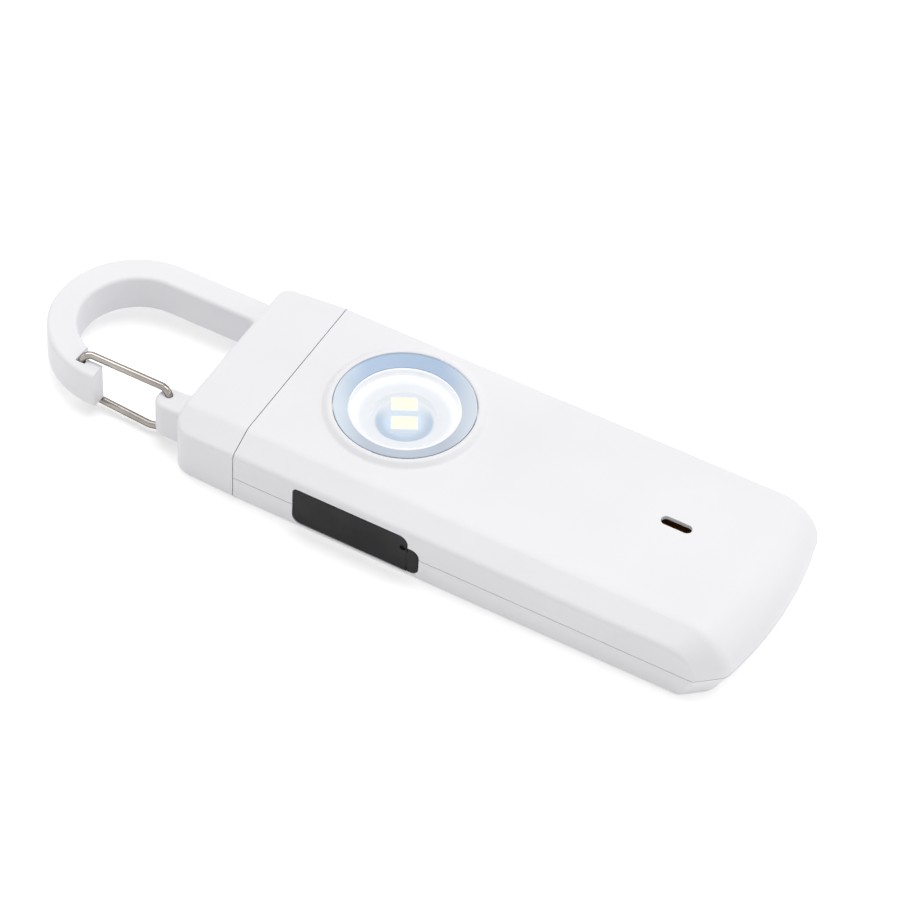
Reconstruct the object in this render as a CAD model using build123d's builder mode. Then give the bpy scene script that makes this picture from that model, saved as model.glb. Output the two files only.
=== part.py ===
from build123d import *
import os

os.makedirs("parts", exist_ok=True)

# A personal safety alarm lying on its flat back, lens up, in mm.
# X runs from the hook to the tail, Y from the near side to the far side, Z up.
# Pulling the hooked cap off along -X draws a steel pin out of its socket.

# Overall sizes
cap_length = 9.8
hook_reach = 14.2
hook_outer_radius = 12.1
hook_bar = 4.1
case_width = 30.0
case_height = 9.8

# Housing shell
wall = 1.4
parting_z = 3.8
parting_gap = 0.12
seam_gap = 0.14
shoulder_width = 3.85
shoulder_drop = 1.8
bow_radius = 60.0
tail_undercut = 1.9
corner_cut = 3.66
corner_gain = 4.6
crease_radius = 2.5
far_edge_radius = 0.8
foot_edge_radius = 0.6
corner_radius = 0.9
lip_height = 1.2
overrun = 1.0

# Clearances: a running fit, a seat beside a fixed piece and a free gap
run_fit = 0.1
seat_gap = 0.1
free_gap = 0.3

# The round button and the sound slot share one line along the top
face_shift = 0.675
ring_from_seam = 15.62

# What the body holds one after the other: board, battery and sounder
board_from_seam = 3.0
board_length = 25.0
cell_gap = 1.2
cell_width = 15.0
ring_gap = 0.6
disc_radius = 10.0
ring_wall = 1.2
ring_overlap = 0.8
tail_room = 6.1
lead_lane = 1.6
far_room = 0.6

# Places that follow from the sizes above
ring_wall_radius = disc_radius + ring_wall - ring_overlap
cell_from_seam = board_from_seam + board_length + cell_gap
slot_from_seam = cell_from_seam + cell_width + ring_gap + ring_wall_radius
body_length = slot_from_seam + ring_wall_radius + tail_room
total_length = hook_outer_radius + hook_reach + cap_length + body_length
tail_x = total_length / 2
seam_x = tail_x - body_length
body_x = seam_x + seam_gap / 2
cap_x = seam_x - seam_gap / 2
cap_end_x = seam_x - cap_length
hook_x = cap_end_x - hook_reach
near_y = -case_width / 2
far_y = case_width / 2
crease_y = near_y + shoulder_width
bow_x = tail_x - bow_radius
bow_y = (crease_y + far_y) / 2
top_width = far_y - crease_y
face_axis_y = crease_y + top_width / 2 + face_shift
bow_fall = bow_radius - (bow_radius ** 2 - (bow_y - crease_y) ** 2) ** 0.5
inner_near_y = near_y + wall + lead_lane
inner_far_y = far_y - wall - far_room
inner_mid_y = (inner_near_y + inner_far_y) / 2
ring_x = seam_x + ring_from_seam
slot_x = seam_x + slot_from_seam
ceiling_z = case_height - wall


def side_plane(x, y):
    # An upright plane along X: its own x is X and its own y is Z
    return Plane((x, y, 0), x_dir=(1, 0, 0), z_dir=(0, -1, 0))


def end_plane(x):
    # An upright plane across the case: its own x is Y and its own y is Z
    return Plane((x, 0, 0), x_dir=(0, 1, 0), z_dir=(1, 0, 0))


# The case form: a side profile turned about a far upright axis gives the bowed,
# rounded tail, and three joined side profiles give the long sloping shoulder
# on the near side, which runs on round the tail's corner.
strip_shares = (-0.25, 2.4, 2.4)


def case_form(inset, start_x):
    top = case_height - inset
    with BuildPart() as form:
        with BuildSketch(side_plane(bow_x, bow_y)):
            with BuildLine():
                reach = bow_radius - inset
                bend = top - parting_z
                Polyline(
                    (reach, parting_z),
                    (reach - tail_undercut, inset),
                    (0, inset),
                    (0, top),
                    (reach - bend, top),
                )
                CenterArc((reach - bend, parting_z), bend, 0, 90)
            make_face()
        revolve(axis=Axis((bow_x, bow_y, 0), (0, 0, 1)))
        with BuildSketch():
            with Locations(((start_x + tail_x + overrun) / 2, 0)):
                Rectangle(tail_x + overrun - start_x, case_width - 2 * inset)
        extrude(amount=case_height, mode=Mode.INTERSECT)
        for number, share in enumerate(strip_shares):
            strip_y = near_y + inset + share * shoulder_width
            if number == len(strip_shares) - 1:
                strip_y = far_y + overrun
            strip_top = top - shoulder_drop + share * shoulder_drop
            end = tail_x - bow_fall - corner_cut + share * corner_gain - inset
            with BuildSketch(side_plane(0, strip_y)):
                with BuildLine():
                    bend = strip_top - parting_z
                    Polyline(
                        (end, parting_z),
                        (end - tail_undercut, 0),
                        (end - tail_undercut, -overrun),
                        (start_x - overrun, -overrun),
                        (start_x - overrun, strip_top),
                        (end - bend, strip_top),
                    )
                    CenterArc((end - bend, parting_z), bend, 0, 90)
                make_face()
        loft(ruled=True, mode=Mode.INTERSECT)
    return form.part


def at_z(edge, z):
    return abs(edge.center().Z - z) < seat_gap


plain_form = case_form(0, body_x)
cavity_form = case_form(wall, body_x + wall)
rebate_form = case_form(wall / 2, body_x + wall / 2)
lip_form = case_form(wall / 2 + seat_gap, body_x + wall / 2 + seat_gap)

with BuildPart() as outer_case:
    add(plain_form)
    upper = outer_case.edges().filter_by(lambda e: e.center().Z > parting_z)
    ridge = upper.filter_by(lambda e: abs(e.center().Y - crease_y) < seat_gap)
    fillet(ridge.sort_by(Edge.length)[-1:], radius=crease_radius)
    tail_edges = outer_case.edges().filter_by(
        lambda e: e.center().X > tail_x - bow_fall - corner_cut)
    low_ridge = tail_edges.filter_by(lambda e: abs(e.center().Z - parting_z / 2) < wall / 2)
    low_ridge = low_ridge.filter_by(lambda e: e.center().Y < 0 and e.length > shoulder_drop)
    fillet(low_ridge, radius=crease_radius)
    near_edges = outer_case.edges().filter_by(lambda e: abs(e.center().Y - near_y) < seat_gap)
    corner = near_edges.filter_by(
        lambda e: e.center().X > tail_x - bow_fall - corner_cut - shoulder_drop)
    fillet(corner, radius=corner_radius)
    upper = outer_case.edges().filter_by(lambda e: e.center().Z > parting_z + overrun)
    far_edges = upper.filter_by(lambda e: abs(e.center().Y - far_y) < seat_gap)
    fillet(far_edges.filter_by(lambda e: e.center().X > body_x + overrun), radius=far_edge_radius)
    foot = outer_case.edges().filter_by(lambda e: abs(e.center().Z) < seat_gap)
    fillet(foot.filter_by(lambda e: e.center().X > body_x + overrun), radius=foot_edge_radius)

# The round button's bore with its raised bezel
bezel_margin = 2.175
bezel_wall = 1.35
bezel_radius = top_width / 2 - bezel_margin
bore_radius = bezel_radius - bezel_wall
bezel_height = 0.65
bezel_crest = 0.7
bezel_foot = 0.45

# The sound slot
slot_length = 4.35
slot_width = 1.5
slot_pocket = 0.8
slot_rim = 0.6

# The charging flap in the near wall, with its strap toward the tail
flap_from_seam = 8.95
flap_length = 17.05
flap_bottom_z = 0.72
flap_height = 6.33
flap_small_radius = 0.7
flap_radius = 1.2
strap_bottom_z = 0.85
strap_height = 4.4
strap_length = 1.65
neck_gap = 0.05
flap_x = seam_x + flap_from_seam
neck_x = flap_x + flap_length
strap_end_x = neck_x + neck_gap + strap_length


def flap_outline(gap):
    # The flap's face grown by a gap, on the plane of the near wall
    with BuildSketch(side_plane(0, near_y)) as face:
        with Locations((flap_x + flap_length / 2, flap_bottom_z + flap_height / 2)):
            Rectangle(flap_length - 2 * seat_gap + 2 * gap, flap_height - 2 * seat_gap + 2 * gap)
        low = face.vertices().group_by(Axis.Y)[0].sort_by(Axis.X)
        fillet(low[0], radius=flap_radius + gap)
        high = face.vertices().group_by(Axis.Y)[-1].sort_by(Axis.X)
        fillet(high[-1], radius=flap_radius + gap)
        high = face.vertices().group_by(Axis.Y)[-1].sort_by(Axis.X)
        fillet(high[0], radius=flap_small_radius + gap)
    return face.sketch


def strap_outline(gap, from_x):
    # The strap's face from a given X to its rounded end
    with BuildSketch(side_plane(0, near_y)) as face:
        end_x = strap_end_x - seat_gap + gap
        with Locations(((from_x + end_x) / 2, strap_bottom_z + strap_height / 2)):
            Rectangle(end_x - from_x, strap_height - 2 * seat_gap + 2 * gap)
        tip = face.vertices().group_by(Axis.X)[-1]
        fillet(tip, radius=flap_radius)
    return face.sketch


flap_hole_face = flap_outline(seat_gap)
strap_hole_face = strap_outline(seat_gap, neck_x - flap_radius)

# The plug of the cap and its opening in the end wall
plug_width = 11.0
plug_height = 3.4
plug_z = 4.7
plug_y = 2.0
plug_corner = 0.6

# Ribs under the top that press the battery's foam pad
cell_thickness = 4.0
tape_thickness = 0.2
pad_thickness = 1.0
press_rib = 0.9
cell_x = seam_x + cell_from_seam
cell_y = inner_mid_y
cell_length = inner_far_y - inner_near_y
cell_z = wall + tape_thickness
pad_z = cell_z + cell_thickness
rib_shares = (0.2, 0.5, 0.8)

with BuildPart() as top_case:
    add(outer_case.part)
    split(bisect_by=Plane.XY.offset(parting_z + parting_gap), keep=Keep.TOP)
    with BuildSketch(side_plane(ring_x, face_axis_y)) as bezel_profile:
        with BuildLine():
            Polyline(
                (0, ceiling_z + wall / 2),
                (bezel_radius, ceiling_z + wall / 2),
                (bezel_radius, case_height),
                (bezel_radius - bezel_crest, case_height + bezel_height),
                (0, case_height + bezel_height),
                close=True,
            )
        make_face()
        shoulder = bezel_profile.vertices().group_by(Axis.Y)[-1].sort_by(Axis.X)[-1]
        fillet(shoulder, radius=bezel_crest)
    revolve(axis=Axis((ring_x, face_axis_y, 0), (0, 0, 1)))
    rim = top_case.edges().filter_by(GeomType.CIRCLE)
    rim = rim.filter_by(lambda e: at_z(e, case_height) and abs(e.radius - bezel_radius) < seat_gap)
    fillet(rim, radius=bezel_foot)
    add(cavity_form, mode=Mode.SUBTRACT)
    rebate = split(
        rebate_form, bisect_by=Plane.XY.offset(parting_z + lip_height), keep=Keep.BOTTOM,
        mode=Mode.PRIVATE,
    )
    add(rebate, mode=Mode.SUBTRACT)
    with Locations((ring_x, face_axis_y, ceiling_z)):
        Cylinder(bore_radius, case_height, align=(Align.CENTER, Align.CENTER, Align.MIN),
                 mode=Mode.SUBTRACT)
    mouth = top_case.edges().filter_by(GeomType.CIRCLE)
    mouth = mouth.filter_by(lambda e: abs(e.radius - bore_radius) < seat_gap)
    fillet(mouth.sort_by(Axis.Z)[-1], radius=bezel_foot / 2)
    with BuildSketch(Plane.XY.offset(ceiling_z)):
        with Locations((slot_x, face_axis_y)):
            SlotOverall(slot_length, slot_width)
    extrude(amount=wall + overrun, mode=Mode.SUBTRACT)
    with BuildSketch(Plane.XY.offset(ceiling_z)):
        with Locations((slot_x, face_axis_y)):
            SlotOverall(slot_length + 2 * slot_pocket, slot_width + 2 * slot_pocket)
    extrude(amount=wall - slot_rim, mode=Mode.SUBTRACT)
    extrude(flap_hole_face, amount=-wall, mode=Mode.SUBTRACT)
    extrude(strap_hole_face, amount=-wall, mode=Mode.SUBTRACT)
    with BuildSketch(end_plane(body_x)) as plug_hole:
        with Locations((plug_y, plug_z)):
            RectangleRounded(plug_width + 2 * free_gap, plug_height + 2 * free_gap, plug_corner)
    extrude(amount=wall, mode=Mode.SUBTRACT)
    for share in rib_shares:
        with Locations((cell_x + share * cell_width, cell_y, pad_z + pad_thickness)):
            Box(press_rib, cell_length - 2 * wall, ceiling_z - pad_z - pad_thickness,
                align=(Align.CENTER, Align.CENTER, Align.MIN))
top_case.part.label = "top_case"

# Board seats on the floor, with a screw in two of them
board_thickness = 0.8
board_lift = 0.6
seat_radius = 1.6
seat_inset = 1.9
screw_radius = 0.55
screw_depth = 1.4
screw_head_radius = 1.2
screw_head_height = 0.6
board_x = seam_x + board_from_seam
board_y = inner_mid_y
board_width = inner_far_y - inner_near_y
board_end_x = board_x + board_length
board_mid_x = board_x + board_length / 2
board_z = wall + board_lift
board_top = board_z + board_thickness
seat_span_x = board_length - 2 * seat_inset
seat_span_y = board_width - 2 * seat_inset

# Sounder: a brass disc on a ring wall, pressed by a gasket under the top
disc_thickness = 0.2
disc_z = 5.8
ceramic_radius = 7.0
wire_radius = 0.4
wire_notch = 3.8
notch_angle = -133.0

# Fence beside the battery
fence_height = 1.6
fence_wall = 0.8

with BuildPart() as lip:
    add(lip_form)
    split(bisect_by=Plane.XY.offset(parting_z + lip_height), keep=Keep.BOTTOM)
    split(bisect_by=Plane.XY.offset(parting_z - lip_height), keep=Keep.TOP)
    add(cavity_form, mode=Mode.SUBTRACT)

with BuildPart() as bottom_case:
    add(outer_case.part)
    split(bisect_by=Plane.XY.offset(parting_z), keep=Keep.BOTTOM)
    add(cavity_form, mode=Mode.SUBTRACT)
    add(lip.part)
    with Locations((board_mid_x, board_y, wall)):
        with GridLocations(seat_span_x, seat_span_y, 2, 2):
            Cylinder(seat_radius, board_lift, align=(Align.CENTER, Align.CENTER, Align.MIN))
        with Locations((seat_span_x / 2, seat_span_y / 2, board_lift),
                       (-seat_span_x / 2, -seat_span_y / 2, board_lift)):
            Cylinder(screw_radius + seat_gap / 2, screw_depth + seat_gap,
                     align=(Align.CENTER, Align.CENTER, Align.MAX), mode=Mode.SUBTRACT)
    with BuildSketch(Plane.XY.offset(wall)):
        with Locations((slot_x, face_axis_y)):
            Circle(ring_wall_radius)
            Circle(disc_radius - ring_overlap, mode=Mode.SUBTRACT)
            with Locations(Location((0, 0, 0), notch_angle)):
                with Locations((disc_radius, 0)):
                    Rectangle(disc_radius, wire_notch, mode=Mode.SUBTRACT)
    extrude(amount=disc_z - wall)
    for fence_x in (cell_x - seat_gap - fence_wall, cell_x + cell_width + seat_gap):
        with Locations((fence_x, cell_y, wall)):
            Box(fence_wall, cell_length / 2, fence_height,
                align=(Align.MIN, Align.CENTER, Align.MIN))
    extrude(flap_hole_face, amount=-wall, mode=Mode.SUBTRACT)
    extrude(strap_hole_face, amount=-wall, mode=Mode.SUBTRACT)
    extrude(plug_hole.sketch, amount=wall, mode=Mode.SUBTRACT)
bottom_case.part.label = "bottom_case"

# Cap: a tapered hollow block that carries the open hook and the gate's boss
cap_top_fall = 0.55
cap_near_taper = 0.35
cap_far_taper = 0.5
cap_near_corner = 2.8
cap_far_corner = 1.8
cap_edge = 0.7
cap_floor = 2.0
plate_thickness = 1.4
plate_step = 0.6
hook_bottom_z = 1.8
hook_height = 5.8
hook_edge = 0.6
nose_length = 0.7
nose_rabbet = 2.43
gate_wire_radius = 0.5
gate_end_back = 2.25
gate_end_in = 2.1
notch_side = 0.2
pivot_from_cap = 3.16
pivot_in = 2.46
boss_length = 4.7
boss_in = 0.1
boss_width = 4.0
boss_nose = 1.9
boss_blend = 1.6
hook_inner_radius = hook_outer_radius - hook_bar
nose_y = -hook_outer_radius
nose_rabbet_y = nose_y + nose_rabbet
gate_end_x = hook_x - gate_end_back
gate_end_y = nose_y + gate_end_in
boss_near_y = nose_y + boss_in
boss_far_y = boss_near_y + boss_width
pivot_x = cap_end_x - pivot_from_cap
pivot_y = nose_y + pivot_in
hook_top_z = hook_bottom_z + hook_height


def cap_section(near_in, far_in, fall, foot):
    # The case's cross-section with its sides moved in and its top lowered
    drop = shoulder_drop + fall
    return (
        (near_y + near_in, foot),
        (near_y + near_in, case_height - drop),
        (crease_y + near_in, case_height - fall),
        (far_y - far_in, case_height - fall),
        (far_y - far_in, foot),
    )


def cap_cavity(extra, depth):
    # The cap's hollow, straight, from the seam to a depth
    with BuildPart() as hollow:
        with BuildSketch(end_plane(cap_x)):
            with BuildLine():
                inset = wall - extra
                Polyline(*cap_section(cap_near_taper + inset, cap_far_taper + inset,
                                      cap_top_fall + inset, inset), close=True)
            make_face()
        extrude(amount=-depth)
        fillet(hollow.edges().filter_by(Axis.X), radius=cap_edge)
    return hollow.part


cap_hollow = cap_cavity(0, cap_length - seam_gap / 2 - cap_floor)
plate_room = cap_cavity(plate_step, plate_thickness + seat_gap)

with BuildPart() as hook_form:
    with BuildSketch(Plane.XY.offset(hook_bottom_z)) as plan:
        with Locations((hook_x, 0)):
            Circle(hook_outer_radius)
            Circle(hook_inner_radius, mode=Mode.SUBTRACT)
            Rectangle(hook_outer_radius + overrun, 2 * hook_outer_radius + overrun,
                      align=(Align.MIN, Align.CENTER), mode=Mode.SUBTRACT)
        with Locations((hook_x, hook_inner_radius)):
            Rectangle(cap_end_x + overrun - hook_x, hook_outer_radius - hook_inner_radius,
                      align=(Align.MIN, Align.MIN))
        with Locations((hook_x, -hook_outer_radius)):
            Rectangle(nose_length, hook_outer_radius - hook_inner_radius,
                      align=(Align.MIN, Align.MIN))
        with Locations((cap_end_x - boss_length, boss_near_y)):
            Rectangle(boss_length + overrun, boss_far_y - boss_near_y,
                      align=(Align.MIN, Align.MIN))
        with Locations((cap_end_x, boss_near_y)):
            Rectangle(overrun, hook_outer_radius - boss_near_y, align=(Align.MIN, Align.MIN))
        with Locations((gate_end_x, nose_rabbet_y)):
            Rectangle(hook_x + nose_length - gate_end_x + overrun, hook_outer_radius / 2,
                      align=(Align.MIN, Align.MIN), mode=Mode.SUBTRACT)
        with Locations((gate_end_x, gate_end_y - gate_wire_radius - seat_gap / 2)):
            Rectangle(2 * (gate_wire_radius + notch_side), hook_outer_radius / 2,
                      align=(Align.CENTER, Align.MIN), mode=Mode.SUBTRACT)
        boss_tip = plan.vertices().filter_by(
            lambda v: abs(v.X - cap_end_x + boss_length) < seat_gap)
        fillet(boss_tip, radius=boss_nose)
        blends = plan.vertices().filter_by(lambda v: abs(v.X - cap_end_x) < seat_gap)
        fillet(blends.filter_by(lambda v: abs(v.Y) < hook_inner_radius + seat_gap),
               radius=boss_blend)
    extrude(amount=hook_height)
    for level in (hook_bottom_z, hook_top_z):
        rim = hook_form.edges().filter_by(lambda e: at_z(e, level))
        rim = rim.filter_by(lambda e: e.center().X < cap_end_x + overrun / 2)
        fillet(rim.filter_by(lambda e: e.length > hook_outer_radius or
                             e.center().X > cap_end_x - boss_length - overrun),
               radius=hook_edge)

with BuildPart() as hook_cap:
    with BuildSketch(end_plane(cap_x)):
        with BuildLine():
            Polyline(*cap_section(0, 0, 0, 0), close=True)
        make_face()
    with BuildSketch(end_plane(cap_end_x)):
        with BuildLine():
            Polyline(*cap_section(cap_near_taper, cap_far_taper, cap_top_fall, 0), close=True)
        make_face()
    loft(ruled=True)
    end_edges = hook_cap.edges().filter_by(lambda e: abs(e.center().X - cap_end_x) < seat_gap)
    uprights = end_edges.filter_by(lambda e: abs(e.center().Y) > crease_y * -1 + wall)
    uprights = uprights.filter_by(lambda e: e.length > hook_height).sort_by(Axis.Y)
    fillet(uprights[0], radius=cap_near_corner)
    uprights = hook_cap.edges().filter_by(lambda e: abs(e.center().X - cap_end_x) < seat_gap)
    uprights = uprights.filter_by(lambda e: e.center().Y > far_y - far_edge_radius - cap_far_taper)
    fillet(uprights.sort_by(Edge.length)[-1], radius=cap_far_corner)
    ridge = hook_cap.edges().filter_by(
        lambda e: abs(e.center().Y - crease_y) < overrun and e.center().Z > hook_top_z + overrun)
    ridge = ridge.filter_by(lambda e: e.length > hook_height)
    fillet(ridge, radius=crease_radius)
    side = hook_cap.edges().filter_by(lambda e: e.center().X < cap_x - overrun)
    brim = side.filter_by(lambda e: e.center().Z > case_height - overrun - cap_top_fall)
    fillet(brim.filter_by(lambda e: e.center().Y > crease_y + overrun), radius=cap_edge)
    side = hook_cap.edges().filter_by(lambda e: e.center().X < cap_x - overrun)
    fillet(side.filter_by(lambda e: abs(e.center().Z) < seat_gap), radius=foot_edge_radius)
    add(cap_hollow, mode=Mode.SUBTRACT)
    add(plate_room, mode=Mode.SUBTRACT)
    add(hook_form.part)
    with Locations((pivot_x, pivot_y, hook_bottom_z - overrun)):
        Cylinder(gate_wire_radius + run_fit / 2, hook_height + 2 * overrun,
                 align=(Align.CENTER, Align.CENTER, Align.MIN), mode=Mode.SUBTRACT)
hook_cap.part.label = "hook_cap"


# Plate that closes the cap's hollow, with the plug that enters the body
plug_reach = 4.5
pin_radius = 0.75
pin_length = 4.1
pin_sink = 2.0
cap_plate_x = cap_x - plate_thickness

with BuildPart() as cap_plate:
    with BuildSketch(end_plane(cap_x)):
        with BuildLine():
            inset = wall - plate_step + seat_gap
            Polyline(*cap_section(cap_near_taper + inset, cap_far_taper + inset,
                                  cap_top_fall + inset, inset), close=True)
        make_face()
    extrude(amount=-plate_thickness)
    fillet(cap_plate.edges().filter_by(Axis.X), radius=cap_edge)
    with BuildSketch(end_plane(cap_x - plate_thickness / 2)):
        with Locations((plug_y, plug_z)):
            RectangleRounded(plug_width, plug_height, plug_corner)
    extrude(amount=seam_x + plug_reach - cap_x + plate_thickness / 2)
    nose = cap_plate.edges().filter_by(lambda e: abs(e.center().X - seam_x - plug_reach) < seat_gap)
    chamfer(nose, length=plug_corner / 2)
    with BuildSketch(end_plane(seam_x + plug_reach)):
        with Locations((plug_y, plug_z)):
            Circle(pin_radius)
    extrude(amount=-pin_sink, mode=Mode.SUBTRACT)
cap_plate.part.label = "cap_plate"

# Steel pin in the plug
with BuildPart() as pull_pin:
    with BuildSketch(end_plane(seam_x + plug_reach - pin_sink)):
        with Locations((plug_y, plug_z)):
            Circle(pin_radius)
    extrude(amount=pin_sink + pin_length)
    chamfer(pull_pin.edges().sort_by(Axis.X)[-1], length=pin_radius / 2)
pull_pin.part.label = "pull_pin"

# Sprung wire gate: two legs above and below the hook, closed round its nose
leg_lift = 0.1
leg_in = 2.9
low_leg_near_in = 1.8
low_leg_far_in = 2.3
leg_y = nose_y + leg_in
low_leg_near_y = nose_y + low_leg_near_in
low_leg_far_y = nose_y + low_leg_far_in
jog_length = 1.2
low_jog_length = 2.7
wire_bend = 0.8
wire_sink = 1.8
upper_z = hook_top_z + leg_lift + gate_wire_radius
lower_z = hook_bottom_z - leg_lift - gate_wire_radius

with BuildPart() as gate_wire:
    with BuildLine():
        FilletPolyline(
            (pivot_x, pivot_y, upper_z - wire_sink),
            (pivot_x, pivot_y, upper_z),
            (pivot_x - jog_length, leg_y, upper_z),
            (gate_end_x + jog_length * 3 / 4, leg_y, upper_z),
            (gate_end_x, gate_end_y, upper_z),
            (gate_end_x, gate_end_y, lower_z),
            (gate_end_x + low_jog_length, low_leg_far_y, lower_z),
            (pivot_x - low_jog_length, low_leg_near_y, lower_z),
            (pivot_x, pivot_y, lower_z),
            (pivot_x, pivot_y, lower_z + wire_sink),
            radius=wire_bend,
        )
    with BuildSketch(Plane.XY.offset(upper_z - wire_sink)):
        with Locations((pivot_x, pivot_y)):
            Circle(gate_wire_radius)
    sweep()
gate_wire.part.label = "gate_wire"

# Button: a clear disc, hollow below, on a wide flange held down by the top's underside
flange_catch = 0.65
flange_gap = 0.05
flange_thickness = 0.75
button_travel = 0.45
disc_seat_z = 9.2
ring_band = 2.1
lens_z = 9.7
lens_step = 0.05
lens_thickness = 1.1
recess_wall = 1.0
leg_from_bore = 1.0
leg_radius = 0.8
plunger_radius = 0.8
switch_side = 3.0
switch_height = 1.5
plunger_height = 0.6
flange_radius = bore_radius + flange_catch
lens_radius = bore_radius - ring_band
leg_offset = bore_radius - leg_from_bore
flange_z = ceiling_z - flange_gap
leg_x = ring_x + leg_offset
switch_top = board_top + switch_height
plunger_top = switch_top + plunger_height
tint_radius = bore_radius - run_fit
recess_radius = tint_radius - recess_wall
recess_z = lens_z - lens_thickness
tint_rise = 0.65
tint_edge = 0.2

with BuildPart() as lens_button:
    with BuildSketch(side_plane(ring_x, face_axis_y)) as lens_profile:
        with BuildLine():
            Polyline(
                (0, recess_z),
                (recess_radius, recess_z),
                (recess_radius, flange_z - flange_thickness),
                (flange_radius, flange_z - flange_thickness),
                (flange_radius, flange_z),
                (tint_radius, flange_z),
                (tint_radius, disc_seat_z),
                (lens_radius, disc_seat_z),
                (lens_radius, lens_z),
                (0, lens_z),
                close=True,
            )
        make_face()
        crown = lens_profile.vertices().group_by(Axis.Y)[-1].sort_by(Axis.X)[-1]
        chamfer(crown, length=tint_edge / 2)
    revolve(axis=Axis((ring_x, face_axis_y, 0), (0, 0, 1)))
    with Locations((leg_x, face_axis_y, plunger_top)):
        Cylinder(leg_radius, flange_z - flange_thickness / 2 - plunger_top,
                 align=(Align.CENTER, Align.CENTER, Align.MIN))
lens_button.part.label = "lens_button"

# Tinted ring round the disc, sloping down toward it
with BuildPart() as tint_ring:
    with BuildSketch(side_plane(ring_x, face_axis_y)) as tint_profile:
        with BuildLine():
            Polyline(
                (lens_radius + lens_step, disc_seat_z),
                (tint_radius, disc_seat_z),
                (tint_radius, lens_z + tint_rise),
                (tint_radius - tint_edge, lens_z + tint_rise),
                (lens_radius + lens_step, lens_z),
                close=True,
            )
        make_face()
    revolve(axis=Axis((ring_x, face_axis_y, 0), (0, 0, 1)))
tint_ring.part.label = "tint_ring"

# White reflector cup standing on the board under the disc
cup_share = 0.455
cup_spread = 0.1
cup_wall = 0.8
cup_flange_thickness = 0.5
cup_floor = 0.8
well_depth = 0.9
chip_length_share = 0.83
chip_width_share = 0.565
chip_pool_share = 0.24
chip_height = 0.8
chip_spacing = 0.95
chip_pool_depth = 0.2
chip_shift = 0.75
chip_turn = 29.0
chip_foot = 0.5
cup_low_radius = bore_radius * cup_share
cup_high_radius = cup_low_radius + cup_spread
cup_flange_radius = recess_radius - free_gap
chip_length = cup_low_radius * chip_length_share
chip_width = cup_low_radius * chip_width_share
chip_pool_radius = cup_low_radius * chip_pool_share
chip_pitch = chip_width + chip_spacing
cup_top_z = recess_z - button_travel - seat_gap
cup_floor_z = cup_top_z - well_depth

with BuildPart() as reflector:
    with BuildSketch(side_plane(ring_x, face_axis_y)):
        with BuildLine():
            Polyline(
                (cup_low_radius, board_top),
                (cup_low_radius + cup_wall, board_top),
                (cup_high_radius + cup_wall, cup_top_z - cup_flange_thickness),
                (cup_flange_radius, cup_top_z - cup_flange_thickness),
                (cup_flange_radius, cup_top_z),
                (cup_high_radius, cup_top_z),
                close=True,
            )
        make_face()
    revolve(axis=Axis((ring_x, face_axis_y, 0), (0, 0, 1)))
    with BuildSketch(Plane.XY.offset(board_top)):
        with Locations((leg_x, face_axis_y)):
            Circle(leg_radius + free_gap)
            Rectangle(leg_offset, 2 * (leg_radius + free_gap), align=(Align.MIN, Align.CENTER))
    extrude(amount=case_height, mode=Mode.SUBTRACT)
    with BuildSketch(Plane.XY.offset(cup_floor_z)):
        with Locations((ring_x, face_axis_y)):
            Circle(cup_low_radius + cup_wall / 2)
        with Locations(Location((ring_x, face_axis_y), chip_turn)):
            with Locations((0, chip_shift)):
                with GridLocations(chip_length - 2 * chip_foot, chip_pitch, 2, 2):
                    Rectangle(chip_foot + 2 * seat_gap, chip_foot + 2 * seat_gap,
                              mode=Mode.SUBTRACT)
    extrude(amount=-cup_floor)
reflector.part.label = "reflector"

# Two flat light chips in the cup, on feet that reach the board
with BuildPart() as white_leds:
    with Locations(Location((ring_x, face_axis_y, cup_floor_z), chip_turn)):
        with Locations((0, chip_shift, 0)):
            with GridLocations(0, chip_pitch, 1, 2):
                Box(chip_length, chip_width, chip_height,
                    align=(Align.CENTER, Align.CENTER, Align.MIN))
            with GridLocations(chip_length - 2 * chip_foot, chip_pitch, 2, 2):
                Box(chip_foot, chip_foot, cup_floor_z - board_top,
                    align=(Align.CENTER, Align.CENTER, Align.MAX))
        with Locations((0, chip_shift, chip_height)):
            with GridLocations(0, chip_pitch, 1, 2):
                Cylinder(chip_pool_radius, chip_pool_depth,
                         align=(Align.CENTER, Align.CENTER, Align.MAX), mode=Mode.SUBTRACT)
white_leds.part.label = "white_leds"

# Board with its two screw holes
with BuildPart() as main_board:
    with BuildSketch(Plane.XY.offset(board_z)):
        with Locations((board_mid_x, board_y)):
            RectangleRounded(board_length, board_width, overrun)
            with Locations((seat_span_x / 2, seat_span_y / 2), (-seat_span_x / 2, -seat_span_y / 2)):
                Circle(screw_radius + seat_gap, mode=Mode.SUBTRACT)
    extrude(amount=board_thickness)
main_board.part.label = "main_board"

with BuildPart() as board_screws:
    with BuildSketch(Plane.XY.offset(board_top)):
        with Locations((board_mid_x, board_y)):
            with Locations((seat_span_x / 2, seat_span_y / 2), (-seat_span_x / 2, -seat_span_y / 2)):
                Circle(screw_head_radius)
    extrude(amount=screw_head_height)
    with BuildSketch(Plane.XY.offset(board_top)):
        with Locations((board_mid_x, board_y)):
            with Locations((seat_span_x / 2, seat_span_y / 2), (-seat_span_x / 2, -seat_span_y / 2)):
                Circle(screw_radius)
    extrude(amount=-board_thickness - screw_depth)
    with Locations((board_mid_x, board_y, board_top + screw_head_height)):
        with Locations((seat_span_x / 2, seat_span_y / 2), (-seat_span_x / 2, -seat_span_y / 2)):
            for turn in (0, 90):
                with Locations(Location((0, 0, 0), turn)):
                    Box(screw_head_radius, screw_radius / 2, screw_head_height / 2,
                        align=(Align.CENTER, Align.CENTER, Align.MAX), mode=Mode.SUBTRACT)
board_screws.part.label = "board_screws"

# Switch under the button's leg
switch_lid = 0.3

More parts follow.
